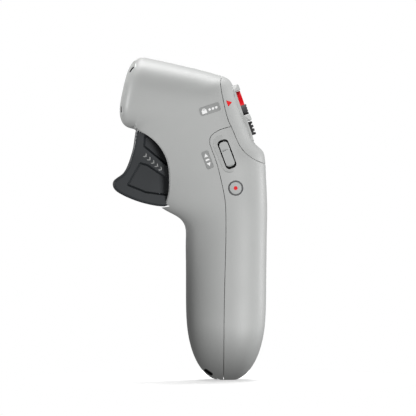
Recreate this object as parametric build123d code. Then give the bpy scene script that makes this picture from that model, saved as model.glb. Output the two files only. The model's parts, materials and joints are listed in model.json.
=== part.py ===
"""Pistol-grip radio transmitter controller for a drone, with a finger trigger.

Units are millimetres. The nose points towards -X, the operator's left hand side is -Y
and Z rises from the flat of the base, whose middle is the origin.
"""
from build123d import *
import os
from math import cos, hypot, pi, radians, sin

# --- driving dimensions ------------------------------------------------------------
WALL = 2.0
SEAM_GAP, SEAM_DEPTH, SEAM_FIT = 0.28, 1.1, 0.06
QUARTER_STEPS, FINE_STEPS = 7, 120

GRIP_ROUND_HEIGHT = 38.0
GRIP_ROUND_POWER = 2.3
GRIP_ROUND_START = 0.8
GRIP_LEVELS = (0.0, 0.7, 2.0, 4.2, 7.5, 12.0, 18.0, 26.0, 36.0, 48.0, 60.0, 69.0)
GRIP_FRONT, GRIP_FRONT_SLOPE = 19.8, 0.005
GRIP_REAR, GRIP_REAR_SLOPE = 19.5, 0.012
GRIP_HALF_WIDTH, GRIP_WIDTH_SLOPE = 17.0, 0.012

NOSE_TILT = 12.0
NOSE_ORIGIN = (-30.0, 142.0)
NOSE_FRONT = 21.6
NOSE_ROUND, NOSE_ROUND_POWER = 9.0, 3.0
NOSE_TOP, NOSE_BOTTOM, NOSE_HALF_WIDTH = 16.3, -19.7, 21.5
NOSE_CAP_STEPS = (9.0, 6.8, 4.8, 3.1, 1.8, 0.85, 0.3, 0.1)

# Sections from the grip round into the nose: front point, rear point (x, z), half width,
# roundness towards the front and the rear, and where along the section it is widest.
BEND = (
    ((-20.15, 74.8), (20.5, 77.5), 17.9, 2.1, 2.5, 0.50),
    ((-21.0, 77.8), (20.6, 83.5), 18.0, 2.1, 2.5, 0.50),
    ((-23.2, 80.6), (20.5, 89.5), 18.1, 2.15, 2.5, 0.50),
    ((-27.0, 82.9), (20.3, 95.5), 18.2, 2.2, 2.5, 0.50),
    ((-31.5, 85.4), (20.0, 101.0), 18.3, 2.25, 2.5, 0.51),
    ((-34.8, 88.4), (19.8, 106.0), 18.4, 2.3, 2.5, 0.52),
    ((-36.6, 91.8), (19.4, 110.6), 18.5, 2.3, 2.5, 0.53),
    ((-37.8, 95.0), (18.2, 114.4), 18.6, 2.3, 2.5, 0.54),
    ((-38.6, 97.8), (15.5, 116.9), 18.8, 2.3, 2.6, 0.55),
    ((-39.4, 100.8), (13.1, 120.0), 19.0, 2.3, 2.7, 0.56),
    ((-40.2, 104.0), (11.2, 124.4), 19.2, 2.35, 2.8, 0.56),
    ((-41.1, 107.6), (8.7, 131.0), 19.5, 2.4, 2.8, 0.56),
    ((-42.0, 111.0), (6.0, 138.8), 19.8, 2.4, 2.8, 0.56),
    ((-42.8, 114.0), (4.0, 144.6), 20.1, 2.5, 2.8, 0.55),
    ((-43.3, 116.0), (2.7, 148.3), 20.3, 2.5, 2.7, 0.54),
    ((-43.8, 117.8), (0.3, 150.7), 20.5, 2.6, 2.6, 0.53),
    ((-44.3, 119.6), (-4.0, 152.2), 20.7, 2.7, 2.5, 0.52),
    ((-44.8, 121.4), (-11.0, 154.2), 20.9, 2.8, 2.4, 0.51),
    ((-45.3, 123.2), (-20.5, 156.5), 21.2, 3.0, 2.35, 0.50),
    ((-45.82, 124.3), (-30.5, 158.8), 21.4, 3.15, 2.3, 0.49),
)

THUMB_SEAM = (
    (-1.7, 157.0), (-2.2, 151.25), (-2.75, 148.7), (-2.4, 144.25), (-1.45, 139.15), (-0.2, 133.4),
    (1.4, 128.3), (2.7, 125.5), (4.3, 121.9), (6.2, 117.6), (8.45, 114.25), (11.3, 111.6),
    (14.8, 109.5), (18.95, 107.9), (26.0, 106.4),
)
COVER_SEAM = (
    (2.7, 126.2), (0.0, 125.45), (-2.6, 124.65), (-4.7, 123.6), (-6.45, 122.4), (-7.7, 121.0),
    (-8.2, 119.2), (-8.05, 117.45), (-7.35, 115.3), (-6.35, 112.6), (-5.4, 110.1), (-4.6, 107.7),
    (-3.85, 105.0), (-3.0, 101.6), (-2.0, 97.4), (-1.15, 93.25), (-0.5, 89.2), (-0.2, 84.0),
    (-0.15, 70.0), (-0.8, 45.0), (-1.1, 20.0), (-1.25, 0.8), (-1.3, -4.0),
)
TRIGGER_ARCH = (
    (-45.0, 125.0), (-41.0, 123.0), (-35.5, 119.0), (-31.5, 114.0), (-29.0, 108.0),
    (-28.25, 99.75), (-29.0, 91.5), (-31.5, 86.3),
)
ARCH_STEP, ARCH_STEP_DEPTH = 0.55, 0.4

PIVOT = (-36.0, 128.5)
PIN_RADIUS = 1.5
TRIGGER_HALF_WIDTH = 10.0
TRIGGER_SIDE = 3.6
TRIGGER_FRONT = (
    (-44.9, 124.6), (-45.7, 119.5), (-46.5, 114.75), (-47.6, 110.9), (-49.3, 106.3),
    (-51.6, 102.7), (-54.4, 100.7), (-56.3, 98.5), (-56.0, 95.8), (-53.0, 93.0),
    (-48.0, 90.55), (-44.2, 89.1), (-40.5, 88.0), (-37.5, 87.3), (-34.0, 86.7), (-31.0, 86.5),
)
TRIGGER_TOP = (
    (-31.4, 127.5), (-31.9, 131.0), (-35.0, 133.4), (-38.9, 132.2), (-40.4, 128.5),
    (-40.9, 124.9), (-40.9, 122.65), (-42.0, 123.25), (-44.9, 124.6),
)
TRIGGER_REAR = (
    (-28.4, 87.3), (-25.2, 91.0), (-23.9, 100.0), (-25.2, 112.0), (-29.0, 121.5), (-31.4, 127.5),
)
TRIGGER_UPPER_POCKET = ((-40.9, 122.2), (-41.2, 116.2), (-29.0, 106.0), (-27.0, 109.0), (-33.5, 120.8))
TRIGGER_LOWER_POCKET = (
    (-42.9, 108.7), (-49.6, 97.0), (-40.1, 93.1), (-27.6, 91.4), (-25.8, 95.6), (-26.6, 99.0),
    (-38.6, 107.4),
)
POCKET_DEPTH, POCKET_CORNER, POCKET_DRAFT = 2.3, 0.9, 24.0
RELIEF_RADIUS, RELIEF_SIDE = 42.7, 0.3

THUMB_TILT = 18.8
THUMB_ORIGIN = (5.5, 144.25)
LOCK_S = 6.5
LOCK_RADIUS = 6.2
RIDGE_RADIUS, RIDGE_CREST, RIDGE_PLAN, RIDGE_RISE = 13.0, 2.05, 10.3, 2.4
RIDGE_START, RIDGE_END = -3.1, 16.1
PAD_HALF_WIDTH, PAD_END = 6.6, 26.7
RIDGE_ROOT, PAD_ROOT, ISLAND_FILLET, RIDGE_CORNER = 3.7, 3.0, 0.6, 1.5
BUTTON_FOOT, BUTTON_FLANGE = -4.8, -4.1
MODE_START, MODE_END, MODE_HALF_WIDTH = 16.6, 23.4, 4.6
MODE_HEIGHT, MODE_RIB_HEIGHT, MODE_RIB_PITCH, MODE_GROOVE = 1.25, 2.05, 1.9, 0.8

SLIDER_CENTRE = (0.4, 112.4)
SLIDER_TILT = 20.5
SLOT_LENGTH, SLOT_WIDTH, SLOT_CORNER = 15.0, 5.6, 2.1
SLIDER_LENGTH, SLIDER_WIDTH, SLIDER_CORNER = 12.7, 4.4, 1.7
SLIDER_PROUD, SLIDER_GROOVE = 0.45, 2.2
DISH_LENGTH, DISH_WIDTH = 17.9, 7.9

RECORD_CENTRE = (4.7, 95.6)
RECORD_RING, RECORD_CAP, RECORD_DOT = 3.8, 3.0, 0.95

LOCK_LABEL = (-8.15, 134.6, 18.0, 10.3, 4.2)
TILT_LABEL = (-9.25, 109.55, 110.6, 9.0, 3.6)
INLAY = 0.35

BATTERY_RADIUS, BATTERY_LENGTH = 9.1, 65.0
BATTERY_X, BATTERY_Z = 6.5, 20.0
BOARD = 1.6
BOARD_FRONT = -7.6
USB_SIZE = (3.16, 8.94, 7.3)

LANYARD = (-8.8, 3.9, -33.7, 5.0, 1.8)
LANYARD_WEB, LANYARD_BAR = 0.8, 0.9
USB_X = BOARD_FRONT + BOARD + USB_SIZE[0] / 2
ARROW = ((-0.05, 139.05), (2.85, 138.3), (1.1, 136.0))
LOCK_SPLIT, LOCK_HEIGHT, LOCK_GRIP_HEIGHT, LOCK_CHANNEL = 1.24, 1.3, 2.0, -0.9

NOSE_MARKS, NOSE_MARK_Y = (8.6, -11.8), 14.2
BUZZER_SLOT = (-3.95, 0.0)
LED_PLACES, LED_RADIUS = (-11.0, -14.5, -18.0, -21.5), 0.8
HEAD_BOARD_TOP = 3.6
HEAD_POSTS = ((-10.0, -10.0), (-10.0, 10.0), (12.0, -10.0), (12.0, 10.0))
HEAD_POST_RADIUS, HEAD_POST_TOP = 2.2, 13.7
RIB_FRONT = -17.5
DISH_SLOPE, DISH_FADE, DISH_FLOOR, DISH_DRAFT = 2.6, 6.0, 17.5, 40.0

SURFACE_Y = 18.3
SIDE_INNER = 15.4
SIDE_BOARD = 10.3
LEFT_POSTS = ((0.6, 100.4), (9.3, 104.0))
RIGHT_POSTS = ((0.6, 101.5), (9.3, 90.5))
COVER_POSTS = (13.0, 92.0)
TRAY_REAR = -4.4
THUMB_BOARD = -8.0
THUMB_POST_S, THUMB_POST_Y = (1.0, 18.5), 9.6

PIN_HALF = 15.0
BUSHING_RADIUS, HUB_RADIUS = 2.3, 3.4
SPRING_RADIUS, SPRING_HALF, SPRING_WIRE = 4.4, 3.8, 0.35
TRIGGER_EDGE = 1.6
TRIGGER_CORE = ((-60.0, 85.0), (-15.0, 85.0), (-15.0, 120.5), (-60.0, 120.5))
MAGNET = (-33.2, 123.6)
HALL_POST = (-27.0, 121.8)

STANDING = (Align.CENTER, Align.CENTER, Align.MIN)

PARTS = {}


# --- body surface ------------------------------------------------------------------
def base_scale(z):
    """Share of the full grip size at height z, which rounds the base down to its flat."""
    rest = 1 - (z + GRIP_ROUND_START) / GRIP_ROUND_HEIGHT
    return (1 - max(rest, 0.0) ** GRIP_ROUND_POWER) ** (1 / GRIP_ROUND_POWER)


def quarter(reach, half_width, power):
    """Points at equal steps along a quarter of a rounded section, from its side to its tip."""
    fine = []
    for i in range(FINE_STEPS + 1):
        turn = pi / 2 * i / FINE_STEPS
        fine.append((reach * sin(turn) ** (2 / power), half_width * max(cos(turn), 0.0) ** (2 / power)))
    reached = [0.0]
    for one, other in zip(fine, fine[1:]):
        reached.append(reached[-1] + hypot(other[0] - one[0], other[1] - one[1]))
    points = [fine[0]]
    for k in range(1, QUARTER_STEPS):
        goal = reached[-1] * k / QUARTER_STEPS
        i = next(n for n, value in enumerate(reached) if value >= goal)
        share = (goal - reached[i - 1]) / (reached[i] - reached[i - 1])
        points.append(tuple(p + (q - p) * share for p, q in zip(fine[i - 1], fine[i])))
    return points + [fine[-1]], reached[-1]


def section(front, rear, half_width, front_power, rear_power, widest):
    """One closed cross section of the body, in the plane through front, rear and Y."""
    start = Vector(front[0], 0, front[1])
    end = Vector(rear[0], 0, rear[1])
    length = (end - start).length
    along = (end - start).normalized()
    middle = start + along * (length * widest)
    edges = []
    for reach, power, side in ((length * (1 - widest), rear_power, 1), (-length * widest, front_power, -1)):
        points, arc = quarter(abs(reach), half_width, power)
        points = points + [(u, -v) for u, v in reversed(points[:-1])]
        sense = 1 if reach > 0 else -1
        line = [middle + along * (sense * u) + Vector(0, side * v, 0) for u, v in points]
        shares = [k / (len(line) - 1) for k in range(len(line))]
        leave = along * (sense * 2 * arc)
        edges.append(Edge.make_spline(line, tangents=[leave, -leave], parameters=shares, scale=False))
    return Wire(edges)


def nose_vectors():
    """Forward and upward directions of the tilted nose."""
    tilt = radians(NOSE_TILT)
    return Vector(-cos(tilt), 0, sin(tilt)), Vector(sin(tilt), 0, cos(tilt))


def make_body(inset):
    """The whole outer form drawn in by inset; a negative inset makes it larger."""
    rings = []
    for z in GRIP_LEVELS:
        level = inset + z * (1 - inset / GRIP_ROUND_HEIGHT) if z < GRIP_ROUND_HEIGHT else z
        share = base_scale(z)
        front = -(GRIP_FRONT + GRIP_FRONT_SLOPE * z - inset) * share
        rear = (GRIP_REAR + GRIP_REAR_SLOPE * z - inset) * share
        half = (GRIP_HALF_WIDTH + GRIP_WIDTH_SLOPE * z - inset) * share
        rings.append(section((front, level), (rear, level), half, 2.1, 2.5, 0.5))
    for front, rear, half, front_power, rear_power, widest in BEND:
        start, end = Vector(front[0], 0, front[1]), Vector(rear[0], 0, rear[1])
        step = (end - start).normalized() * inset * 1.08
        start, end = start + step, end - step
        rings.append(
            section((start.X, start.Z), (end.X, end.Z), half - inset, front_power, rear_power, widest)
        )
    forward, upward = nose_vectors()
    centre = Vector(NOSE_ORIGIN[0], 0, NOSE_ORIGIN[1]) + upward * ((NOSE_TOP + NOSE_BOTTOM) / 2)
    half_height = (NOSE_TOP - NOSE_BOTTOM) / 2 - inset
    for step in NOSE_CAP_STEPS:
        share = (1 - (1 - step / NOSE_ROUND) ** NOSE_ROUND_POWER) ** (1 / NOSE_ROUND_POWER)
        at = centre + forward * (NOSE_FRONT - inset - step * (1 - inset / NOSE_ROUND))
        low = at - upward * (half_height * share)
        high = at + upward * (half_height * share)
        half = (NOSE_HALF_WIDTH - inset) * share
        rings.append(section((low.X, low.Z), (high.X, high.Z), half, 3.2, 2.3, 0.47))
    return Solid.make_loft(rings)


BODIES = {}


def body(inset):
    """The outer form at one inset, made once and kept."""
    if inset not in BODIES:
        BODIES[inset] = make_body(inset)
    return BODIES[inset]


# --- small helpers -----------------------------------------------------------------
SIDE = Plane.XZ
THUMB_DOWN = (sin(radians(THUMB_TILT)), 0, -cos(radians(THUMB_TILT)))
THUMB_OUT = (cos(radians(THUMB_TILT)), 0, sin(radians(THUMB_TILT)))
THUMB = Plane(origin=(THUMB_ORIGIN[0], 0, THUMB_ORIGIN[1]), x_dir=THUMB_DOWN, z_dir=THUMB_OUT)
FORWARD, UPWARD = nose_vectors()
NOSE = Plane(origin=(NOSE_ORIGIN[0], 0, NOSE_ORIGIN[1]), x_dir=FORWARD, z_dir=UPWARD)
NOSE_FACE = Plane(origin=(NOSE_ORIGIN[0], 0, NOSE_ORIGIN[1]), x_dir=(0, -1, 0), z_dir=FORWARD)


def keep(name, *solids):
    """Store the solids of one separate piece under its name."""
    pieces = []
    for solid in solids:
        pieces.extend(solid.solids())
    PARTS[name] = pieces[0] if len(pieces) == 1 else Compound(children=pieces)


def biggest(shape):
    """The largest solid of a shape."""
    return max(shape.solids(), key=lambda solid: solid.volume)


def across(sketch, half=40.0):
    """A side-view outline made solid through the whole width."""
    return extrude(SIDE * sketch, amount=half, both=True)


def left(sketch, near, far):
    """A side-view outline made solid on the left side, from y = -near to y = -far."""
    return extrude(SIDE.offset(near) * sketch, amount=far - near)


def right(sketch, near, far):
    """The same on the right side, from y = near to y = far."""
    return mirror(left(sketch, near, far), about=Plane.XZ)


def outline(points):
    """A face bounded by straight lines through the points."""
    return make_face(Polyline(*points, close=True))


def box(x0, x1, y0, y1, z0, z1):
    """A block given by its extents."""
    size = (x1 - x0, y1 - y0, z1 - z0)
    return Pos((x0 + x1) / 2, (y0 + y1) / 2, (z0 + z1) / 2) * Box(*size)


def on(plane, x, y):
    """The same plane with its origin moved to local x, y."""
    return Plane(plane.location * Pos(x, y, 0))


def rod(plane, radius, start, end):
    """A cylinder along the normal of a plane, from start to end above it."""
    return extrude(plane.offset(start) * Circle(radius), amount=end - start)


def at_side(x, z):
    """A side-view plane whose origin is at x, z."""
    return Plane(origin=(x, 0, z), x_dir=(1, 0, 0), z_dir=(0, -1, 0))


def skin(solid, top, bottom):
    """The part of a solid that lies between two insets of the body surface."""
    return (solid & body(top)) - body(bottom)


def seam(points, width):
    """A cut of constant width through the body along a side-view curve."""
    return across(trace(Spline(*points), line_width=width))


# --- shells ------------------------------------------------------------------------
def make_island():
    """The raised thumb island: a crowned ridge round the lock button and a flat lower pad."""
    plan = Pos(LOCK_S, 0) * Circle(RIDGE_PLAN)
    span = RIDGE_END - RIDGE_START
    plan = plan & (Pos(RIDGE_START + span / 2, 0) * Rectangle(span, 30))
    plan = fillet(plan.vertices(), RIDGE_CORNER)
    ridge = extrude(THUMB.offset(-RIDGE_ROOT) * plan, amount=RIDGE_ROOT + 4)
    turned = Rot(0, 90 - RIDGE_RISE, 0) * Cylinder(RIDGE_RADIUS, 60)
    crown = Pos(LOCK_S, 0, RIDGE_CREST - RIDGE_RADIUS) * turned
    ridge = ridge & (THUMB * crown)
    ridge = fillet(ridge.faces().sort_by(SortBy.AREA)[-1].edges(), ISLAND_FILLET)
    pad_plan = Pos((10 + PAD_END) / 2, 0) * RectangleRounded(PAD_END - 10, 2 * PAD_HALF_WIDTH, 3)
    pad = extrude(THUMB.offset(-PAD_ROOT) * pad_plan, amount=PAD_ROOT)
    pad = fillet(pad.faces().sort_by(Axis(THUMB.origin, THUMB.z_dir))[-1].edges(), ISLAND_FILLET)
    return ridge + pad


def mode_outline(grow):
    """Plan of the mode button, grown on every side."""
    length = MODE_END - MODE_START + 2 * grow
    centre = (MODE_START + MODE_END) / 2
    return Pos(centre, 0) * RectangleRounded(length, 2 * (MODE_HALF_WIDTH + grow), 1.4 + grow)


def make_arch():
    """Everything in front of the trigger opening."""
    far = Polyline(TRIGGER_ARCH[-1], (-62, 84.2), (-62, 124.4), TRIGGER_ARCH[0])
    return across(make_face([Spline(*TRIGGER_ARCH), far]))


def slider_plane():
    """Side-view plane at the tilt slider whose y axis runs along the slot."""
    return Pos(*SLIDER_CENTRE) * Rot(0, 0, SLIDER_TILT)


def slot(length, width, corner):
    """Rounded slot along local y."""
    return RectangleRounded(width, length, corner)


def label(spec, grow=0.0):
    """Outline of a label plate: x, z, angle, length, height."""
    x, z, angle, length, height = spec
    plate = RectangleRounded(length + 2 * grow, height + 2 * grow, height * 0.28 + grow)
    return Pos(x, z) * Rot(0, 0, angle) * plate


def lanyard_outline(grow):
    """Side-view outline of the lanyard slot."""
    x, z, angle, length, width = LANYARD
    return Pos(x, z) * Rot(0, 0, angle) * SlotOverall(length + 2 * grow, width + 2 * grow)


def usb_opening(grow):
    """Opening for the charging port, seen from below."""
    x, y = USB_SIZE[0] + 2 * grow, USB_SIZE[1] + 2 * grow
    return Pos(USB_X, 0) * RectangleRounded(x, y, 0.48 * x)


def make_shells():
    """Front shell, rear cover and thumb panel, with every opening and boss."""
    shell = body(0.0) - body(WALL)
    shell = shell - make_arch() - (seam(TRIGGER_ARCH, 2 * ARCH_STEP) - body(ARCH_STEP_DEPTH))
    for points in (THUMB_SEAM, COVER_SEAM):
        shell = shell - (seam(points, SEAM_GAP) - body(SEAM_DEPTH)) - seam(points, SEAM_FIT)
    solids = shell.solids().sort_by(Axis.X)
    front, rest = solids[0], solids[1:]
    rear = [solid for solid in rest if solid.center().Z < 100][0]
    panel = [solid for solid in rest if solid.center().Z > 100][0]
    return finish_front(front), finish_rear(rear), finish_panel(panel)


def finish_front(front):
    """Pivot bosses, ribs, posts, vent slot, port and lanyard openings, label pockets."""
    boss = left(Pos(*PIVOT) * Circle(4.2), TRIGGER_HALF_WIDTH + 0.5, 30) & body(1.0)
    added = [boss, mirror(boss, about=Plane.XZ)]
    added.append(left(Pos(*HALL_POST) * Circle(1.6), 13.0, 30) & body(1.0))
    for y in (-7.0, 5.4):
        added.append(box(RIB_FRONT, BOARD_FRONT, y, y + 1.6, 26, 76))
    for x, y in HEAD_POSTS:
        added.append(rod(on(NOSE, x, y), HEAD_POST_RADIUS, HEAD_BOARD_TOP, HEAD_POST_TOP))
    removed = [rod(at_side(*PIVOT), PIN_RADIUS, -PIN_HALF, PIN_HALF)]
    half = TRIGGER_HALF_WIDTH + RELIEF_SIDE
    removed.append(rod(at_side(*PIVOT), RELIEF_RADIUS, -half, half) & box(-33, -18, -half, half, 84, 96))
    for x, y in HEAD_POSTS:
        removed.append(rod(on(NOSE, x, y), 0.9, HEAD_BOARD_TOP - 1, HEAD_BOARD_TOP + 6))
    removed.append(extrude(Plane.XY.offset(-1) * usb_opening(0.25), amount=9))
    removed.append(across(lanyard_outline(0.0)))
    removed.append(NOSE * (Pos(*BUZZER_SLOT, 14) * Box(3.4, 1.6, 12)))
    for x in LED_PLACES:
        removed.append(rod(on(NOSE, x, 0), LED_RADIUS + 0.05, 8, 20))
    for u in NOSE_MARKS:
        for y in (-NOSE_MARK_Y, NOSE_MARK_Y):
            removed.append(nose_mark(y, u, 0.04))
    for spec in (LOCK_LABEL, TILT_LABEL):
        removed.append(skin(left(label(spec, 0.06), 5, 30), -0.5, INLAY))
    return biggest(front + added - removed)


def nose_mark(y, u, grow):
    """A small pill-shaped inlay in the nose face."""
    pill = Pos(y, u) * Rot(0, 0, 90) * SlotOverall(3.2 + 2 * grow, 2.0 + 2 * grow)
    solid = extrude(NOSE_FACE * pill, amount=30)
    return skin(solid, -0.5 if grow else 0.0, INLAY)


def finish_rear(rear):
    """Slider slot and dish, record and power openings, posts for the boards."""
    high = SIDE_BOARD + BOARD
    added, removed = [], []
    for x, z in LEFT_POSTS:
        added.append(left(Pos(x, z) * Circle(1.7), high, 30) & body(1.0))
        removed.append(left(Pos(x, z) * Circle(0.6), high - 1, high + 2.2))
    for x, z in RIGHT_POSTS:
        added.append(right(Pos(x, z) * Circle(1.7), high, 30) & body(1.0))
        removed.append(right(Pos(x, z) * Circle(0.6), high - 1, high + 2.2))
    for z in COVER_POSTS:
        post = extrude(Plane.YZ.offset(TRAY_REAR) * (Pos(0, z) * Circle(3.0)), amount=40)
        added.append(post & body(1.0))
        removed.append(extrude(Plane.YZ.offset(TRAY_REAR - 1) * (Pos(0, z) * Circle(1.0)), amount=9))
    dish = SIDE.offset(DISH_FLOOR) * (slider_plane() * slot(DISH_LENGTH, DISH_WIDTH, DISH_WIDTH / 2 - 0.3))
    dish = extrude(dish, amount=3, taper=-DISH_DRAFT)
    lean = Pos(0, 0, SURFACE_Y + DISH_FADE) * (Rot(DISH_SLOPE, 0, 0) * Box(40, 40, 12.4))
    removed.append(dish & (at_side(*SLIDER_CENTRE) * (Rot(0, 0, SLIDER_TILT) * lean)))
    removed.append(left(slider_plane() * slot(SLOT_LENGTH, SLOT_WIDTH, SLOT_CORNER), 5, 30))
    hole = left(Pos(*RECORD_CENTRE) * Circle(RECORD_RING), 5, 30)
    removed += [hole, mirror(hole, about=Plane.XZ)]
    return biggest(rear + added - removed)


def finish_panel(panel):
    """Thumb island, button openings, board posts and the pocket of the arrow mark."""
    added = [make_island()]
    removed = [skin(left(offset(outline(ARROW), 0.05), 5, 30), -0.5, INLAY)]
    for y in (-THUMB_POST_Y, THUMB_POST_Y):
        for s in THUMB_POST_S:
            post = extrude(THUMB.offset(THUMB_BOARD) * (Pos(s, y) * Circle(1.7)), amount=20)
            added.append(post & body(1.0))
            removed.append(rod(on(THUMB, s, y), 0.6, THUMB_BOARD - 1, THUMB_BOARD + 2.4))
    removed.append(THUMB * (Pos(LOCK_S, 0, LOCK_CHANNEL + 5) * Box(2 * LOCK_RADIUS + 0.7, 40, 10)))
    removed.append(rod(on(THUMB, LOCK_S, 0), LOCK_RADIUS + 0.25, -8, 6))
    removed.append(extrude(THUMB.offset(-8) * mode_outline(0.25), amount=12))
    return biggest(panel + added - removed)


# --- controls ----------------------------------------------------------------------
def make_lock_button():
    """Round push button in two moulded halves: a red cap and a dark ribbed grip."""
    place = on(THUMB, LOCK_S, 0)
    disc = rod(place, LOCK_RADIUS, BUTTON_FOOT, LOCK_GRIP_HEIGHT)
    flange = rod(place, LOCK_RADIUS + 0.9, BUTTON_FOOT, BUTTON_FLANGE)
    split = THUMB * (Pos(LOCK_S + LOCK_SPLIT + 10, 0, LOCK_CHANNEL - 0.7 + 5) * Box(20, 30, 10))
    upper = THUMB * (Pos(LOCK_S, 0, LOCK_HEIGHT + 5) * Box(30, 30, 10))
    cap = (disc - split) - upper
    cap = cap + flange
    cap = cap - (place * (Pos(-2.4, 0, LOCK_HEIGHT + 22 - 0.35) * Sphere(22)))
    grip = disc & split
    for i in range(3):
        groove = THUMB * (Pos(LOCK_S + LOCK_SPLIT + 1.15 + 1.3 * i, 0, 2.1) * Box(0.5, 30, 0.8))
        grip = grip - groove
    keep("lock_button_cap", cap)
    keep("lock_button_grip", biggest(grip))


def make_mode_button():
    """Black push button with four cross ribs and a retaining flange."""
    stem = extrude(THUMB.offset(BUTTON_FOOT) * mode_outline(0.0), amount=MODE_RIB_HEIGHT - BUTTON_FOOT)
    flange = extrude(THUMB.offset(BUTTON_FOOT) * mode_outline(0.8), amount=BUTTON_FLANGE - BUTTON_FOOT)
    for i in (-1, 0, 1):
        middle = (MODE_START + MODE_END) / 2 + MODE_RIB_PITCH * i
        stem = stem - THUMB * (Pos(middle, 0, MODE_HEIGHT + 1) * Box(MODE_GROOVE, 30, 2))
    keep("mode_button", stem + flange)


def make_slider():
    """Tilt slider: rounded cap with a finger groove, on a carriage behind the wall."""
    place = at_side(*SLIDER_CENTRE).location * Rot(0, 0, SLIDER_TILT)
    plan = slider_plane() * slot(SLIDER_LENGTH, SLIDER_WIDTH, SLIDER_CORNER)
    cap = left(plan, SIDE_INNER - 1.0, 30) & body(-SLIDER_PROUD)
    bit = Rot(45, 0, 0) * Box(SLIDER_WIDTH - 1.1, 0.9, 0.9)
    groove = Pos(0, SLIDER_GROOVE, SURFACE_Y + SLIDER_PROUD + 0.35) * bit
    slope = Pos(0, -SLIDER_LENGTH / 2 - 0.6, SURFACE_Y + 1.2) * (Rot(-32, 0, 0) * Box(20, 3.4, 2.2))
    keep("tilt_slider_cap", cap - place * groove - place * slope)
    plate = RectangleRounded(SLIDER_WIDTH + 3.4, SLOT_LENGTH + 2.0, 1.0)
    keep("tilt_slider_carriage", left(slider_plane() * plate, SIDE_INNER - 2.2, SIDE_INNER - 1.0))


def make_side_buttons():
    """Record button on the left and power button on the right."""
    ring = Circle(RECORD_RING - 0.05) - Circle(RECORD_CAP + 0.12)
    ring = left(Pos(*RECORD_CENTRE) * ring, SIDE_INNER + 0.2, 30)
    flange = left(Pos(*RECORD_CENTRE) * Circle(RECORD_CAP + 0.6), SIDE_INNER - 1.2, SIDE_INNER - 0.4)
    stem = left(Pos(*RECORD_CENTRE) * Circle(RECORD_CAP), SIDE_INNER - 0.5, 30) & body(-0.25)
    dot = left(Pos(*RECORD_CENTRE) * Circle(RECORD_DOT), 5, 30)
    keep("record_button_ring", skin(ring, 0.1, 3.0))
    keep("record_button_cap", stem + flange - skin(dot, -1.0, 0.2))
    keep("record_button_dot", skin(dot, -0.3, 0.2))
    mark = Circle(1.3) - Circle(0.85)
    mark = (mark - Pos(0, 1.2) * Rectangle(0.9, 1.6)) + Pos(0, 0.95) * Rectangle(0.36, 1.3)
    mark = right(Pos(*RECORD_CENTRE) * mark, 5, 30)
    keep("power_button_ring", mirror(skin(ring, 0.1, 3.0), about=Plane.XZ))
    keep("power_button_cap", mirror(stem + flange, about=Plane.XZ) - skin(mark, -1.0, 0.0))
    keep("power_button_mark", skin(mark, -0.27, 0.0))


def make_marks():
    """Plates and marks set flush in the shells."""
    lock_plate = skin(left(label(LOCK_LABEL), 5, 30), 0.0, INLAY)
    tilt_plate = skin(left(label(TILT_LABEL), 5, 30), 0.0, INLAY)
    lock_glyph = left(Pos(*LOCK_LABEL[:2]) * Rot(0, 0, LOCK_LABEL[2]) * padlock(), 5, 30)
    tilt_glyph = left(Pos(*TILT_LABEL[:2]) * Rot(0, 0, TILT_LABEL[2]) * double_arrow(), 5, 30)
    keep("lock_label_plate", lock_plate - skin(lock_glyph, -0.5, 0.15))
    keep("tilt_label_plate", tilt_plate - skin(tilt_glyph, -0.5, 0.15))
    keep("lock_label_glyph", skin(lock_glyph, -0.02, 0.15))
    keep("tilt_label_glyph", skin(tilt_glyph, -0.02, 0.15))
    keep("unlock_arrow_mark", skin(left(outline(ARROW), 5, 30), -0.02, INLAY))
    marks = [nose_mark(y, u, 0.0) for u in NOSE_MARKS for y in (-NOSE_MARK_Y, NOSE_MARK_Y)]
    keep("nose_inlays", *marks)


def padlock():
    """Padlock pictogram followed by three dots, within 9 x 3."""
    glyph = Pos(-2.9, -0.5) * RectangleRounded(2.5, 1.7, 0.25)
    shackle = (Circle(0.95) - Circle(0.52)) & (Pos(0, 1) * Rectangle(3, 2))
    glyph = glyph + Pos(-2.9, 0.3) * shackle
    for i in range(3):
        glyph = glyph + Pos(-0.1 + 1.75 * i, -0.1) * Circle(0.62)
    return glyph


def double_arrow():
    """Double headed arrow with a middle bar, within 7 x 2.2."""
    head = make_face(Polyline((3.3, 0), (1.5, 1.0), (1.5, -1.0), close=True))
    return head + mirror(head, about=Plane.YZ) + Rectangle(0.8, 2.0)


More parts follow.
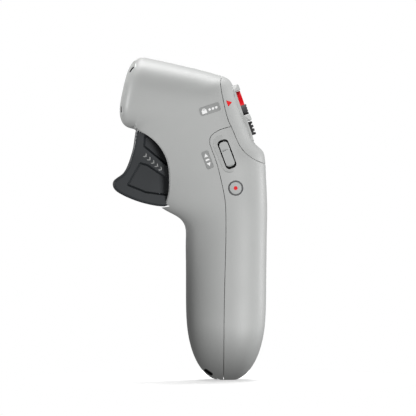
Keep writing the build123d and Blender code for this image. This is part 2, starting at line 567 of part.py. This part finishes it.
# --- trigger -----------------------------------------------------------------------
def make_trigger():
    """Finger trigger: a bent channel with side pockets, hanging on its pivot pin."""
    front = Spline(*TRIGGER_FRONT)
    top = Polyline(*TRIGGER_TOP)
    rear = Polyline(TRIGGER_FRONT[-1], *TRIGGER_REAR)
    side = make_face([front, rear, top])
    block = across(side, TRIGGER_HALF_WIDTH)
    rounded = [
        edge for edge in block.edges()
        if abs(abs(edge.position_at(0.5).Y) - TRIGGER_HALF_WIDTH) < 0.01 and edge.length > 40
    ]
    block = fillet(rounded, TRIGGER_EDGE)
    core = across(Pos(2.6, 1.2) * side, TRIGGER_HALF_WIDTH - TRIGGER_SIDE)
    core = core & across(outline(TRIGGER_CORE), TRIGGER_HALF_WIDTH)
    block = block - core
    for points in (TRIGGER_UPPER_POCKET, TRIGGER_LOWER_POCKET):
        plan = outline(points)
        plan = fillet(plan.vertices(), POCKET_CORNER)
        pocket = extrude(SIDE.offset(TRIGGER_HALF_WIDTH) * plan, amount=-POCKET_DEPTH, taper=POCKET_DRAFT)
        block = block - pocket - mirror(pocket, about=Plane.XZ)
    pivot = at_side(*PIVOT)
    block = block - rod(pivot, SPRING_RADIUS + 0.9, -SPRING_HALF - 0.5, SPRING_HALF + 0.5)
    hub = rod(pivot, HUB_RADIUS, -TRIGGER_HALF_WIDTH, TRIGGER_HALF_WIDTH)
    block = block + hub - rod(pivot, BUSHING_RADIUS, -20, 20)
    magnet = left(Pos(*MAGNET) * Circle(1.6), TRIGGER_HALF_WIDTH - 1.2, TRIGGER_HALF_WIDTH)
    keep("trigger", biggest(block - magnet))
    keep("trigger_magnet", magnet)
    sleeve = rod(pivot, BUSHING_RADIUS, -TRIGGER_HALF_WIDTH, TRIGGER_HALF_WIDTH)
    keep("trigger_bushing", sleeve - rod(pivot, PIN_RADIUS + 0.03, -20, 20))
    keep("trigger_pivot_pin", rod(pivot, PIN_RADIUS, -PIN_HALF, PIN_HALF))
    coil = Helix(pitch=SPRING_HALF / 4, height=2 * SPRING_HALF, radius=SPRING_RADIUS)
    wire = sweep(Plane(origin=coil @ 0, z_dir=coil % 0) * Circle(SPRING_WIRE), path=coil)
    keep("trigger_return_spring", pivot * (Pos(0, 0, -SPRING_HALF) * wire))


# --- inside ------------------------------------------------------------------------
def make_power():
    """Battery cell, its contacts and leads, and the tray that carries it."""
    cell = Cylinder(BATTERY_RADIUS, BATTERY_LENGTH, align=STANDING)
    cell = Pos(BATTERY_X, 0, BATTERY_Z) * cell
    top = BATTERY_Z + BATTERY_LENGTH
    keep("battery_cell", cell)
    contacts = [box(3, 10, -3, 3, z, z + 0.5) for z in (BATTERY_Z - 0.5, top)]
    keep("battery_contacts", *contacts)
    plate = box(BOARD_FRONT + BOARD, TRAY_REAR, -11, 11, 9, 97)
    cradle = box(TRAY_REAR, 4, -10.9, 10.9, BATTERY_Z - 2.5, top + 2.5)
    ends = box(4, 12, -7, 7, BATTERY_Z - 2.5, BATTERY_Z - 0.5) + box(4, 12, -7, 7, top + 0.5, top + 2.5)
    well = Pos(BATTERY_X, 0, BATTERY_Z - 0.5) * Cylinder(
        BATTERY_RADIUS + 0.1, BATTERY_LENGTH + 1.0, align=STANDING
    )
    tray = (plate + cradle + ends - well) & body(2.6)
    for z in COVER_POSTS:
        tray = tray - extrude(Plane.YZ.offset(-20) * (Pos(0, z) * Circle(1.1)), amount=17)
    keep("battery_tray", biggest(tray))
    wires = []
    for y in (-8.0, 8.0):
        rise = ((4, y, 88.9), (-0.5, y, 88.9), (-3.0, y, 91.5), (-3.3, y, 96.5), (-4.1, y, 99.0))
        path = Spline(*rise, (-5.85, y, 100.0))
        wires.append(sweep(Plane(origin=path @ 0, z_dir=path % 0) * Circle(0.6), path=path))
    keep("battery_leads", *wires)


def make_main_board():
    """Main circuit board with its parts, charging port, motor, screws and ribbon."""
    board = box(BOARD_FRONT, BOARD_FRONT + BOARD, -11.5, 11.5, 3.2, 103) & body(2.6)
    board = board - across(lanyard_outline(0.3))
    screws = []
    for z in COVER_POSTS:
        board = board - extrude(Plane.YZ.offset(-20) * (Pos(0, z) * Circle(1.1)), amount=20)
        shank = extrude(Plane.YZ.offset(BOARD_FRONT) * (Pos(0, z) * Circle(0.97)), amount=9)
        head = extrude(Plane.YZ.offset(BOARD_FRONT - 1.3) * (Pos(0, z) * Circle(1.9)), amount=1.3)
        recess = extrude(Plane.YZ.offset(BOARD_FRONT - 1.3) * (Pos(0, z) * Rectangle(2.4, 0.5)), amount=0.6)
        cross = extrude(Plane.YZ.offset(BOARD_FRONT - 1.3) * (Pos(0, z) * Rectangle(0.5, 2.4)), amount=0.6)
        screws.append(shank + head - recess - cross)
    keep("main_board", biggest(board))
    keep("chassis_screws", *screws)
    chips = (
        (-4, 4, 60, 68, 1.2), (-2.5, 2.5, 19, 24, 0.9), (-2, 2, 80, 85, 0.9), (-3, 3, 72, 75, 1.6),
        (-1.5, 1.5, 30, 36, 1.8),
    )
    front = BOARD_FRONT
    keep("main_board_chips", *[box(front - high, front, y0, y1, z0, z1) for y0, y1, z0, z1, high in chips])
    motor = extrude(Plane.YZ.offset(BOARD_FRONT - 3.0) * (Pos(0, 47) * Circle(4.0)), amount=3.0)
    keep("haptic_motor", motor)
    shell = extrude(Plane.XY.offset(0.35) * usb_opening(0.0), amount=USB_SIZE[2])
    shell = shell - extrude(Plane.XY * usb_opening(-0.3), amount=USB_SIZE[2] - 0.5)
    keep("usb_port_shell", shell)
    keep("usb_port_tongue", Pos(USB_X, 0, 1.3) * Box(0.7, 6.6, 5.5, align=STANDING))
    bends = ((-5.7, 99.3), (-5.5, 103), (-4, 108), (1.5, 112.5), (4.2, 115.5), (3.9, 118.4))
    path = Spline(*bends, (2.93, 121.2))
    keep("flex_ribbon", across(trace(path, line_width=0.3), 4.0))


def make_side_boards():
    """Boards behind the side controls, with their switches, sensor and screws."""
    high = SIDE_BOARD + BOARD
    left_plan = Pos(2.75, 104.15) * Rectangle(13.5, 28.3)
    right_plan = Pos(4.25, 96.0) * Rectangle(12.5, 16)
    screws = []
    boards = (
        ("side_board_left", left, left_plan, LEFT_POSTS),
        ("side_board_right", right, right_plan, RIGHT_POSTS),
    )
    for name, side, plan, posts in boards:
        board = side(plan, SIDE_BOARD, high) & body(2.6)
        for x, z in posts:
            board = board - side(Pos(x, z) * Circle(0.7), 5, 20)
            head = side(Pos(x, z) * Circle(1.2), SIDE_BOARD - 0.8, SIDE_BOARD)
            screws.append(head + side(Pos(x, z) * Circle(0.57), SIDE_BOARD, high + 2))
        keep(name, board)
    keep("side_board_screws", *screws)
    switch = left(Pos(*RECORD_CENTRE) * Rectangle(5, 5), high, high + 1.1)
    switch = switch + left(Pos(*RECORD_CENTRE) * Circle(1.3), high + 1.1, high + 1.5)
    keep("record_switch", switch)
    keep("power_switch", mirror(switch, about=Plane.XZ))
    keep("tilt_sensor", left(slider_plane() * Rectangle(5, 10), high, high + 1.0))


def make_thumb_board():
    """Board behind the thumb panel with the lock and mode switches."""
    plan = Pos(9.25, 0) * Rectangle(22.5, 22.6) + Pos(22.5, 0) * Rectangle(5.0, 17.0)
    board = extrude(THUMB.offset(THUMB_BOARD - BOARD) * plan, amount=BOARD)
    screws = []
    for s in THUMB_POST_S:
        for y in (-THUMB_POST_Y, THUMB_POST_Y):
            spot = on(THUMB, s, y)
            board = board - rod(spot, 0.7, -20, 0)
            head = rod(spot, 1.2, THUMB_BOARD - BOARD - 0.8, THUMB_BOARD - BOARD)
            screws.append(head + rod(spot, 0.57, THUMB_BOARD - BOARD, THUMB_BOARD + 2.2))
    keep("thumb_board", board)
    keep("thumb_board_screws", *screws)
    for name, s in (("lock_switch", LOCK_S), ("mode_switch", (MODE_START + MODE_END) / 2)):
        base = THUMB * (Pos(s, 0, THUMB_BOARD) * Box(6, 6, 1.8, align=STANDING))
        keep(name, base + rod(on(THUMB, s, 0), 1.7, THUMB_BOARD + 1.8, THUMB_BOARD + 2.3))


def make_head_board():
    """Radio board in the nose with its shield, antennas, buzzer, lights and hall sensor."""
    low = HEAD_BOARD_TOP - BOARD
    board = NOSE * (Pos(1, 0, low + BOARD / 2) * Box(30, 28, BOARD))
    screws = []
    for x, y in HEAD_POSTS:
        spot = on(NOSE, x, y)
        board = board - rod(spot, 1.0, -5, 10)
        head = rod(spot, 1.7, low - 1.0, low)
        screws.append(head + rod(spot, 0.87, low, HEAD_BOARD_TOP + 5))
    keep("radio_board", board)
    keep("radio_board_screws", *screws)
    can = NOSE * (Pos(7, 0, HEAD_BOARD_TOP) * Box(10, 13, 2.4, align=STANDING))
    hollow = NOSE * (Pos(7, 0, HEAD_BOARD_TOP) * Box(9.4, 12.4, 2.1, align=STANDING))
    keep("radio_shield_can", can - hollow)
    keep("radio_chip", NOSE * (Pos(7, 0, HEAD_BOARD_TOP) * Box(5, 5, 1.0, align=STANDING)))
    for name, y in (("antenna_left", 14.4), ("antenna_right", -14.4)):
        keep(name, (NOSE * (Pos(4, y, 2.5) * Box(20, 0.8, 13))) & body(2.6))
    sound = on(NOSE, BUZZER_SLOT[0], 0)
    drum = rod(sound, 5.0, HEAD_BOARD_TOP, HEAD_BOARD_TOP + 5)
    keep("buzzer", drum - rod(sound, 1.0, HEAD_BOARD_TOP + 4, 20))
    header = NOSE * (Pos(-12, 0, HEAD_BOARD_TOP) * Box(2.4, 5, 3.8, align=STANDING))
    keep("light_board_header", header)
    keep("light_board", NOSE * (Pos(-16.5, 0, HEAD_BOARD_TOP + 3.8 + 0.6) * Box(14, 6, 1.2)))
    pipes = [rod(on(NOSE, x, 0), LED_RADIUS, HEAD_BOARD_TOP + 5.0, 20) & body(0.0) for x in LED_PLACES]
    keep("battery_light_pipes", *pipes)
    x, z = HALL_POST
    hall = left(Pos(x - 2.0, z) * Rectangle(8.0, 4.6), 12.0, 13.0)
    sensor = left(Pos(MAGNET[0] + 1.4, z) * Rectangle(1.2, 2.6), 11.3, 12.0)
    keep("hall_sensor_board", hall)
    keep("hall_sensor", sensor)


def make_lanyard_sleeve():
    """Dark sleeve that lines the lanyard slot, with a bar for the cord in each mouth."""
    sleeve = across(lanyard_outline(0.0)) - across(lanyard_outline(-0.4))
    sleeve = sleeve + across(lanyard_outline(-0.2), LANYARD_WEB)
    x, z, angle, _, width = LANYARD
    bar = across(Pos(x, z) * Rot(0, 0, angle) * Rectangle(LANYARD_BAR, width - 0.4))
    bar = bar & (body(1.4) - body(2.6))
    keep("lanyard_sleeve", (sleeve + bar) & body(0.05))


def main():
    """Build every piece and write each to its own file."""
    front, rear, panel = make_shells()
    keep("front_shell", front)
    keep("rear_cover", rear)
    keep("thumb_panel", panel)
    make_lock_button()
    make_mode_button()
    make_slider()
    make_side_buttons()
    make_marks()
    make_trigger()
    make_power()
    make_main_board()
    make_side_boards()
    make_thumb_board()
    make_head_board()
    make_lanyard_sleeve()
    os.makedirs("parts", exist_ok=True)
    for name, shape in PARTS.items():
        export_step(shape, "parts/" + name + ".step")


main()
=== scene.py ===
"""Looks for the pistol-grip radio transmitter controller: materials, light, camera and trim.

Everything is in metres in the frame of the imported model: the nose points towards -X, the
operator's left hand side is -Y and Z rises from the flat of the base.
"""
import json
from math import pi, radians

import bmesh
import bpy
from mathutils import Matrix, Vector


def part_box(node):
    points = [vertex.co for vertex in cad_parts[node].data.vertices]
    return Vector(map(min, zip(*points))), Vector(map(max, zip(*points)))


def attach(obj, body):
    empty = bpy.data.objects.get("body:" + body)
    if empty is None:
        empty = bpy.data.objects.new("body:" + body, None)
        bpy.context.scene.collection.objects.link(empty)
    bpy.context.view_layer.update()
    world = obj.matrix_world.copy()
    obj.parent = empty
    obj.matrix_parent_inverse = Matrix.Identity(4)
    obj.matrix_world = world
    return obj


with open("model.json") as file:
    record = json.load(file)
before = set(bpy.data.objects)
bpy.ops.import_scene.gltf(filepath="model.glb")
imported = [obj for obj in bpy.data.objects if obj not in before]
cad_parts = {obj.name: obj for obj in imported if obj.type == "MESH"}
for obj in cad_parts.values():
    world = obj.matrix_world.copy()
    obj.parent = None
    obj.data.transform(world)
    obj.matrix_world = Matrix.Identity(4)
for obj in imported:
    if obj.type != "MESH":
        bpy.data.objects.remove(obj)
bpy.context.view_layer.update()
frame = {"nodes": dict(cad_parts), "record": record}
nodes = frame["nodes"]
MM = 0.001


# --- node helpers ------------------------------------------------------------------
class Build:
    """A material under construction, with short calls for the nodes it uses."""

    def __init__(self, name):
        """A plain material with its shader and object coordinates at hand."""
        self.material = bpy.data.materials.new(name)
        self.material.use_nodes = True
        self.tree = self.material.node_tree
        self.shader = self.tree.nodes["Principled BSDF"]
        self.place = self.node("ShaderNodeTexCoord").outputs["Object"]

    def node(self, kind, **settings):
        """A new node of this kind with its settings."""
        made = self.tree.nodes.new(kind)
        for key, value in settings.items():
            setattr(made, key, value)
        return made

    def join(self, source, target):
        """Link an output to an input."""
        self.tree.links.new(source, target)

    def stretch(self, scale, turn=(0, 0, 0)):
        """Object coordinates scaled and turned."""
        mapping = self.node("ShaderNodeMapping")
        mapping.inputs["Scale"].default_value = scale
        mapping.inputs["Rotation"].default_value = turn
        self.join(self.place, mapping.inputs["Vector"])
        return mapping.outputs["Vector"]

    def noise(self, size, detail=3.0, rough=0.5, vector=None):
        """Noise whose grain is about size metres."""
        made = self.node("ShaderNodeTexNoise")
        made.inputs["Scale"].default_value = 1.0 / size
        made.inputs["Detail"].default_value = detail
        made.inputs["Roughness"].default_value = rough
        self.join(vector or self.place, made.inputs["Vector"])
        return made.outputs["Fac"]

    def ramp(self, value, stops):
        """Value turned into colour by the stops (position, colour)."""
        made = self.node("ShaderNodeValToRGB")
        ends = made.color_ramp.elements
        ends[0].position, ends[1].position = stops[0][0], stops[-1][0]
        for position, _ in stops[1:-1]:
            ends.new(position)
        for element, (_, colour) in zip(ends, stops):
            element.color = (*colour, 1.0)
        self.join(value, made.inputs["Fac"])
        return made.outputs["Color"]

    def span(self, value, low, high, start=0.0, end=1.0):
        """Value from start..end carried to low..high."""
        made = self.node("ShaderNodeMapRange")
        made.inputs["From Min"].default_value = start
        made.inputs["From Max"].default_value = end
        made.inputs["To Min"].default_value = low
        made.inputs["To Max"].default_value = high
        self.join(value, made.inputs["Value"])
        return made.outputs["Result"]

    def blend(self, share, one, other):
        """Two colours mixed by share."""
        made = self.node("ShaderNodeMix", data_type="RGBA")
        self.join(share, made.inputs[0])
        for socket, colour in ((made.inputs[6], one), (made.inputs[7], other)):
            if isinstance(colour, tuple):
                socket.default_value = (*colour, 1.0)
            else:
                self.join(colour, socket)
        return made.outputs[2]

    def bump(self, height, depth):
        """Surface relief, depth in metres."""
        made = self.node("ShaderNodeBump")
        made.inputs["Strength"].default_value = 1.0
        made.inputs["Distance"].default_value = depth
        self.join(height, made.inputs["Height"])
        return made.outputs["Normal"]

    def set(self, **values):
        """Plain values on the shader's own sockets."""
        for key, value in values.items():
            self.shader.inputs[key.replace("_", " ")].default_value = value


def shade(colour, factor):
    """The same colour made lighter or darker."""
    return tuple(min(1.0, c * factor) for c in colour)


def moulded(name, colour, rough, grain, depth, spread=0.03, wear=0.06):
    """Moulded plastic: fine eroded grain, slight mottling and faintly polished high spots."""
    b = Build(name)
    wide = b.noise(14 * MM, 3.0, 0.55)
    fine = b.noise(grain, 2.0, 0.6)
    base = b.ramp(wide, [(0.3, shade(colour, 1 - spread)), (0.7, shade(colour, 1 + spread))])
    speck = b.span(fine, 0.0, 0.5, 0.35, 0.9)
    b.join(b.blend(speck, base, shade(colour, 0.88)), b.shader.inputs["Base Color"])
    b.join(b.span(wide, rough - wear, rough + wear, 0.3, 0.7), b.shader.inputs["Roughness"])
    b.join(b.bump(fine, depth), b.shader.inputs["Normal"])
    return b


def printed(name, colour, rough):
    """Printed or inlaid mark with a slight paint texture."""
    b = Build(name)
    fine = b.noise(0.25 * MM, 2.0, 0.5)
    b.join(b.ramp(fine, [(0.3, shade(colour, 0.93)), (0.7, colour)]), b.shader.inputs["Base Color"])
    b.join(b.span(fine, rough - 0.05, rough + 0.05, 0.3, 0.7), b.shader.inputs["Roughness"])
    b.join(b.bump(fine, 0.006 * MM), b.shader.inputs["Normal"])
    return b


def metal(name, colour, rough, along=(1, 1, 0.04)):
    """Drawn or plated metal with fine lines along one direction and dull patches."""
    b = Build(name)
    lines = b.noise(0.12 * MM, 2.0, 0.6, b.stretch(along))
    dull = b.noise(2.5 * MM, 3.0, 0.6)
    b.join(b.ramp(dull, [(0.35, shade(colour, 0.82)), (0.65, colour)]), b.shader.inputs["Base Color"])
    b.join(b.span(lines, rough - 0.1, rough + 0.12, 0.3, 0.7), b.shader.inputs["Roughness"])
    b.join(b.bump(lines, 0.004 * MM), b.shader.inputs["Normal"])
    b.set(Metallic=1.0)
    return b


def circuit(name, colour):
    """Circuit board: solder resist over copper tracks, with bare pads."""
    b = Build(name)
    tracks = b.node("ShaderNodeTexBrick", offset=0.35, squash=1.0)
    tracks.inputs["Scale"].default_value = 1 / (2.6 * MM)
    tracks.inputs["Mortar Size"].default_value = 0.05
    tracks.inputs["Color1"].default_value = (0, 0, 0, 1)
    tracks.inputs["Color2"].default_value = (0, 0, 0, 1)
    tracks.inputs["Mortar"].default_value = (1, 1, 1, 1)
    b.join(b.stretch((1, 1, 1), (pi / 2, 0, 0)), tracks.inputs["Vector"])
    line = tracks.outputs["Fac"]
    tone = b.blend(line, colour, shade(colour, 1.9))
    pads = b.node("ShaderNodeTexVoronoi", feature="F1")
    pads.inputs["Scale"].default_value = 1 / (3.1 * MM)
    b.join(b.place, pads.inputs["Vector"])
    pad = b.span(pads.outputs["Distance"], 1.0, 0.0, 0.14, 0.16)
    b.join(b.blend(pad, tone, (0.62, 0.5, 0.24)), b.shader.inputs["Base Color"])
    b.join(b.span(b.noise(5 * MM), 0.25, 0.42, 0.3, 0.7), b.shader.inputs["Roughness"])
    b.join(b.bump(line, 0.02 * MM), b.shader.inputs["Normal"])
    b.join(pad, b.shader.inputs["Metallic"])
    return b


# --- materials by slot -------------------------------------------------------------
GREY = (0.403, 0.410, 0.404)
MATERIALS = {
    "shell_grey": moulded("shell_grey", GREY, 0.50, 0.22 * MM, 0.010 * MM, 0.012, 0.03),
    "panel_grey": moulded("panel_grey", GREY, 0.50, 0.22 * MM, 0.010 * MM, 0.012, 0.03),
    "control_grey": moulded("control_grey", (0.36, 0.37, 0.365), 0.42, 0.18 * MM, 0.006 * MM, 0.015, 0.03),
    "label_grey": moulded("label_grey", (0.26, 0.265, 0.262), 0.40, 0.15 * MM, 0.004 * MM, 0.015, 0.03),
    "print_white": printed("print_white", (0.86, 0.86, 0.86), 0.45),
    "print_red": printed("print_red", (0.72, 0.003, 0.007), 0.60),
    "button_red": moulded("button_red", (0.74, 0.003, 0.010), 0.40, 0.16 * MM, 0.005 * MM, 0.03, 0.04),
    "button_dark": moulded("button_dark", (0.055, 0.055, 0.058), 0.48, 0.2 * MM, 0.008 * MM, 0.05),
    "button_black": moulded("button_black", (0.012, 0.012, 0.013), 0.50, 0.2 * MM, 0.008 * MM, 0.06),
    "trigger_black": moulded("trigger_black", (0.022, 0.025, 0.028), 0.46, 0.25 * MM, 0.012 * MM, 0.06, 0.05),
    "inlay_dark": printed("inlay_dark", (0.02, 0.02, 0.022), 0.18),
    "board_green": circuit("board_green", (0.008, 0.085, 0.035)),
    "antenna_board": circuit("antenna_board", (0.02, 0.05, 0.025)),
    "chip_black": moulded("chip_black", (0.012, 0.012, 0.012), 0.55, 0.12 * MM, 0.006 * MM, 0.08),
    "steel": metal("steel", (0.56, 0.56, 0.57), 0.32),
    "zinc_screw": metal("zinc_screw", (0.62, 0.62, 0.64), 0.28, (1, 0.2, 1)),
    "magnet": metal("magnet", (0.72, 0.70, 0.66), 0.18, (1, 1, 1)),
    "bronze": metal("bronze", (0.45, 0.27, 0.10), 0.42, (0.3, 1, 1)),
    "cell_wrap": printed("cell_wrap", (0.012, 0.10, 0.36), 0.26),
    "nickel": metal("nickel", (0.62, 0.60, 0.56), 0.30),
    "tray_black": moulded("tray_black", (0.022, 0.022, 0.024), 0.55, 0.3 * MM, 0.012 * MM, 0.06),
    "wire_red": printed("wire_red", (0.55, 0.01, 0.012), 0.5),
    "ribbon": printed("ribbon", (0.50, 0.20, 0.02), 0.3),
    "light_pipe": printed("light_pipe", (0.82, 0.86, 0.86), 0.2),
}
for slot in ("print_red", "button_red"):
    MATERIALS[slot].set(Specular_IOR_Level=0.25)
MATERIALS["light_pipe"].set(Transmission_Weight=0.35, IOR=1.49)
MATERIALS["cell_wrap"].set(Coat_Weight=0.4, Coat_Roughness=0.15)

for part in frame["record"]["subparts"]:
    obj = nodes[part["node"]]
    obj.data.materials.clear()
    obj.data.materials.append(MATERIALS[part["material_slot"]].material)


# --- trim pieces -------------------------------------------------------------------
def finish_mesh(name, bm, slot, body):
    """Turn a bmesh into a piece that rides on a body."""
    mesh = bpy.data.meshes.new(name)
    bmesh.ops.recalc_face_normals(bm, faces=bm.faces)
    bm.to_mesh(mesh)
    bm.free()
    obj = bpy.data.objects.new(name, mesh)
    bpy.context.scene.collection.objects.link(obj)
    mesh.materials.append(MATERIALS[slot].material)
    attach(obj, body)


CHEVRON_START, CHEVRON_END = Vector((-40.6, 112.2)), Vector((-31.2, 103.9))
CHEVRON_COUNT, CHEVRON_HALF, CHEVRON_REACH, CHEVRON_BAND = 5, 1.05, 0.9, 0.75
CHEVRON_RISE, CHEVRON_EDGE, CHEVRON_ROOT = 0.25, 0.10, 0.3
CHEVRON_TAPER, CHEVRON_OFFSET = 0.9, 0.25


def half_width(name):
    """Half the width of a node that is symmetric about the middle plane."""
    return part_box(name)[1].y


def chevrons(side):
    """Raised arrow marks along the web between the trigger's pockets, on one side, in a lighter grey than the
    trigger's black: a painted highlight for light catching the raised marks.
    """
    bm = bmesh.new()
    face = half_width("trigger")
    along = (CHEVRON_END - CHEVRON_START).normalized()
    across = Vector((-along.y, along.x))
    step = (CHEVRON_END - CHEVRON_START) / CHEVRON_COUNT
    centre = (CHEVRON_REACH - CHEVRON_BAND) / 2
    lifts = ((-CHEVRON_ROOT, 1.0), (CHEVRON_RISE - CHEVRON_EDGE, 1.0), (CHEVRON_RISE, CHEVRON_TAPER))
    for i in range(CHEVRON_COUNT):
        base = CHEVRON_START + step * (i + CHEVRON_OFFSET)
        shape = [(0, -1), (CHEVRON_REACH, 0), (0, 1)]
        inner = [(u - CHEVRON_BAND, v) for u, v in reversed(shape)]
        loop = shape + inner
        rings = []
        for lift, shrink in lifts:
            ring = []
            for u, v in loop:
                at = base + along * (centre + (u - centre) * shrink) + across * (v * CHEVRON_HALF * shrink)
                ring.append(bm.verts.new((at.x * MM, side * (face + lift * MM), at.y * MM)))
            rings.append(ring)
        for low, high in zip(rings, rings[1:]):
            for k in range(len(low)):
                n = (k + 1) % len(low)
                bm.faces.new((low[k], low[n], high[n], high[k]))
        for ring in (rings[0], rings[-1]):
            bm.faces.new((ring[0], ring[1], ring[4], ring[5]))
            bm.faces.new((ring[1], ring[2], ring[3], ring[4]))
    hand = "left" if side < 0 else "right"
    # The lighter grey on these black embossed marks is a painted highlight, standing in for light catching
    # their raised edges.
    finish_mesh("trigger_chevrons_" + hand, bm, "label_grey", "trigger_body")


for side in (-1, 1):
    chevrons(side)


# --- floor, light and camera -------------------------------------------------------
FLOOR_RADIUS, FLOOR_DROP, FLOOR_GRAIN = 0.10, 0.0001, 0.05
FLOOR_TONES = [(0.3, (0.80, 0.80, 0.80)), (0.7, (0.82, 0.82, 0.82))]
WORLD_LIGHT = 0.215


def make_floor():
    """A plain pale disc that the controller stands on."""
    bm = bmesh.new()
    bmesh.ops.create_circle(bm, cap_ends=True, segments=96, radius=FLOOR_RADIUS)
    mesh = bpy.data.meshes.new("floor")
    bm.to_mesh(mesh)
    bm.free()
    obj = bpy.data.objects.new("floor", mesh)
    obj.location.z = -FLOOR_DROP
    bpy.context.scene.collection.objects.link(obj)
    b = Build("floor_white")
    b.join(b.ramp(b.noise(FLOOR_GRAIN), FLOOR_TONES), b.shader.inputs["Base Color"])
    b.set(Roughness=0.8, Emission_Color=(1, 1, 1, 1), Emission_Strength=0.5)
    mesh.materials.append(b.material)
    obj.visible_diffuse = False
    obj.visible_glossy = False


def soft_light(name, place, aim, size, energy, spread=180):
    """A rectangular soft light that faces a point, its beam spread degrees wide."""
    lamp = bpy.data.lights.new(name, "AREA")
    lamp.shape = "RECTANGLE"
    lamp.size, lamp.size_y = size
    lamp.energy = energy
    lamp.spread = radians(spread)
    obj = bpy.data.objects.new(name, lamp)
    obj.location = place
    obj.rotation_euler = (Vector(aim) - Vector(place)).to_track_quat("-Z", "Y").to_euler()
    bpy.context.scene.collection.objects.link(obj)


def make_world():
    """White behind the object and a dimmer even light round it."""
    world = bpy.data.worlds.new("studio")
    world.use_nodes = True
    bpy.context.scene.world = world
    tree = world.node_tree
    back = tree.nodes["Background"]
    back.inputs["Color"].default_value = (1, 1, 1, 1)
    back.inputs["Strength"].default_value = 1.0
    dim = tree.nodes.new("ShaderNodeBackground")
    dim.inputs["Color"].default_value = (1, 1, 1, 1)
    dim.inputs["Strength"].default_value = WORLD_LIGHT
    mix = tree.nodes.new("ShaderNodeMixShader")
    path = tree.nodes.new("ShaderNodeLightPath")
    tree.links.new(path.outputs["Is Camera Ray"], mix.inputs[0])
    tree.links.new(dim.outputs[0], mix.inputs[1])
    tree.links.new(back.outputs[0], mix.inputs[2])
    tree.links.new(mix.outputs[0], tree.nodes["World Output"].inputs["Surface"])


make_floor()
make_world()
soft_light("key", (0.46, -0.82, -0.12), (0, 0, 0.08), (0.3, 0.3), 8.2)
soft_light("top", (0.0, 0.22, 0.80), (-0.02, 0, 0.14), (0.6, 0.36), 8.0)
soft_light("rim", (0.65, 0.24, 0.12), (0, 0, 0.09), (0.15, 0.3), 2.0)
soft_light("front", (-0.60, -0.10, 0.20), (-0.055, 0, 0.148), (0.10, 0.10), 0.03, 13)

LENS, SENSOR, VIEW_WIDTH = 300.0, 36.0, 0.208
VIEW_CENTRE = (-0.009, 0.0, 0.08575)
camera_data = bpy.data.cameras.new("camera")
camera_data.lens, camera_data.sensor_width = LENS, SENSOR
camera_data.clip_start, camera_data.clip_end = 0.05, 20.0
camera = bpy.data.objects.new("camera", camera_data)
distance = VIEW_WIDTH * LENS / SENSOR
camera.location = (VIEW_CENTRE[0], VIEW_CENTRE[1] - distance, VIEW_CENTRE[2])
camera.rotation_euler = (pi / 2, 0, 0)
bpy.context.scene.collection.objects.link(camera)
bpy.context.scene.camera = camera
bpy.context.scene.view_settings.view_transform = "Standard"
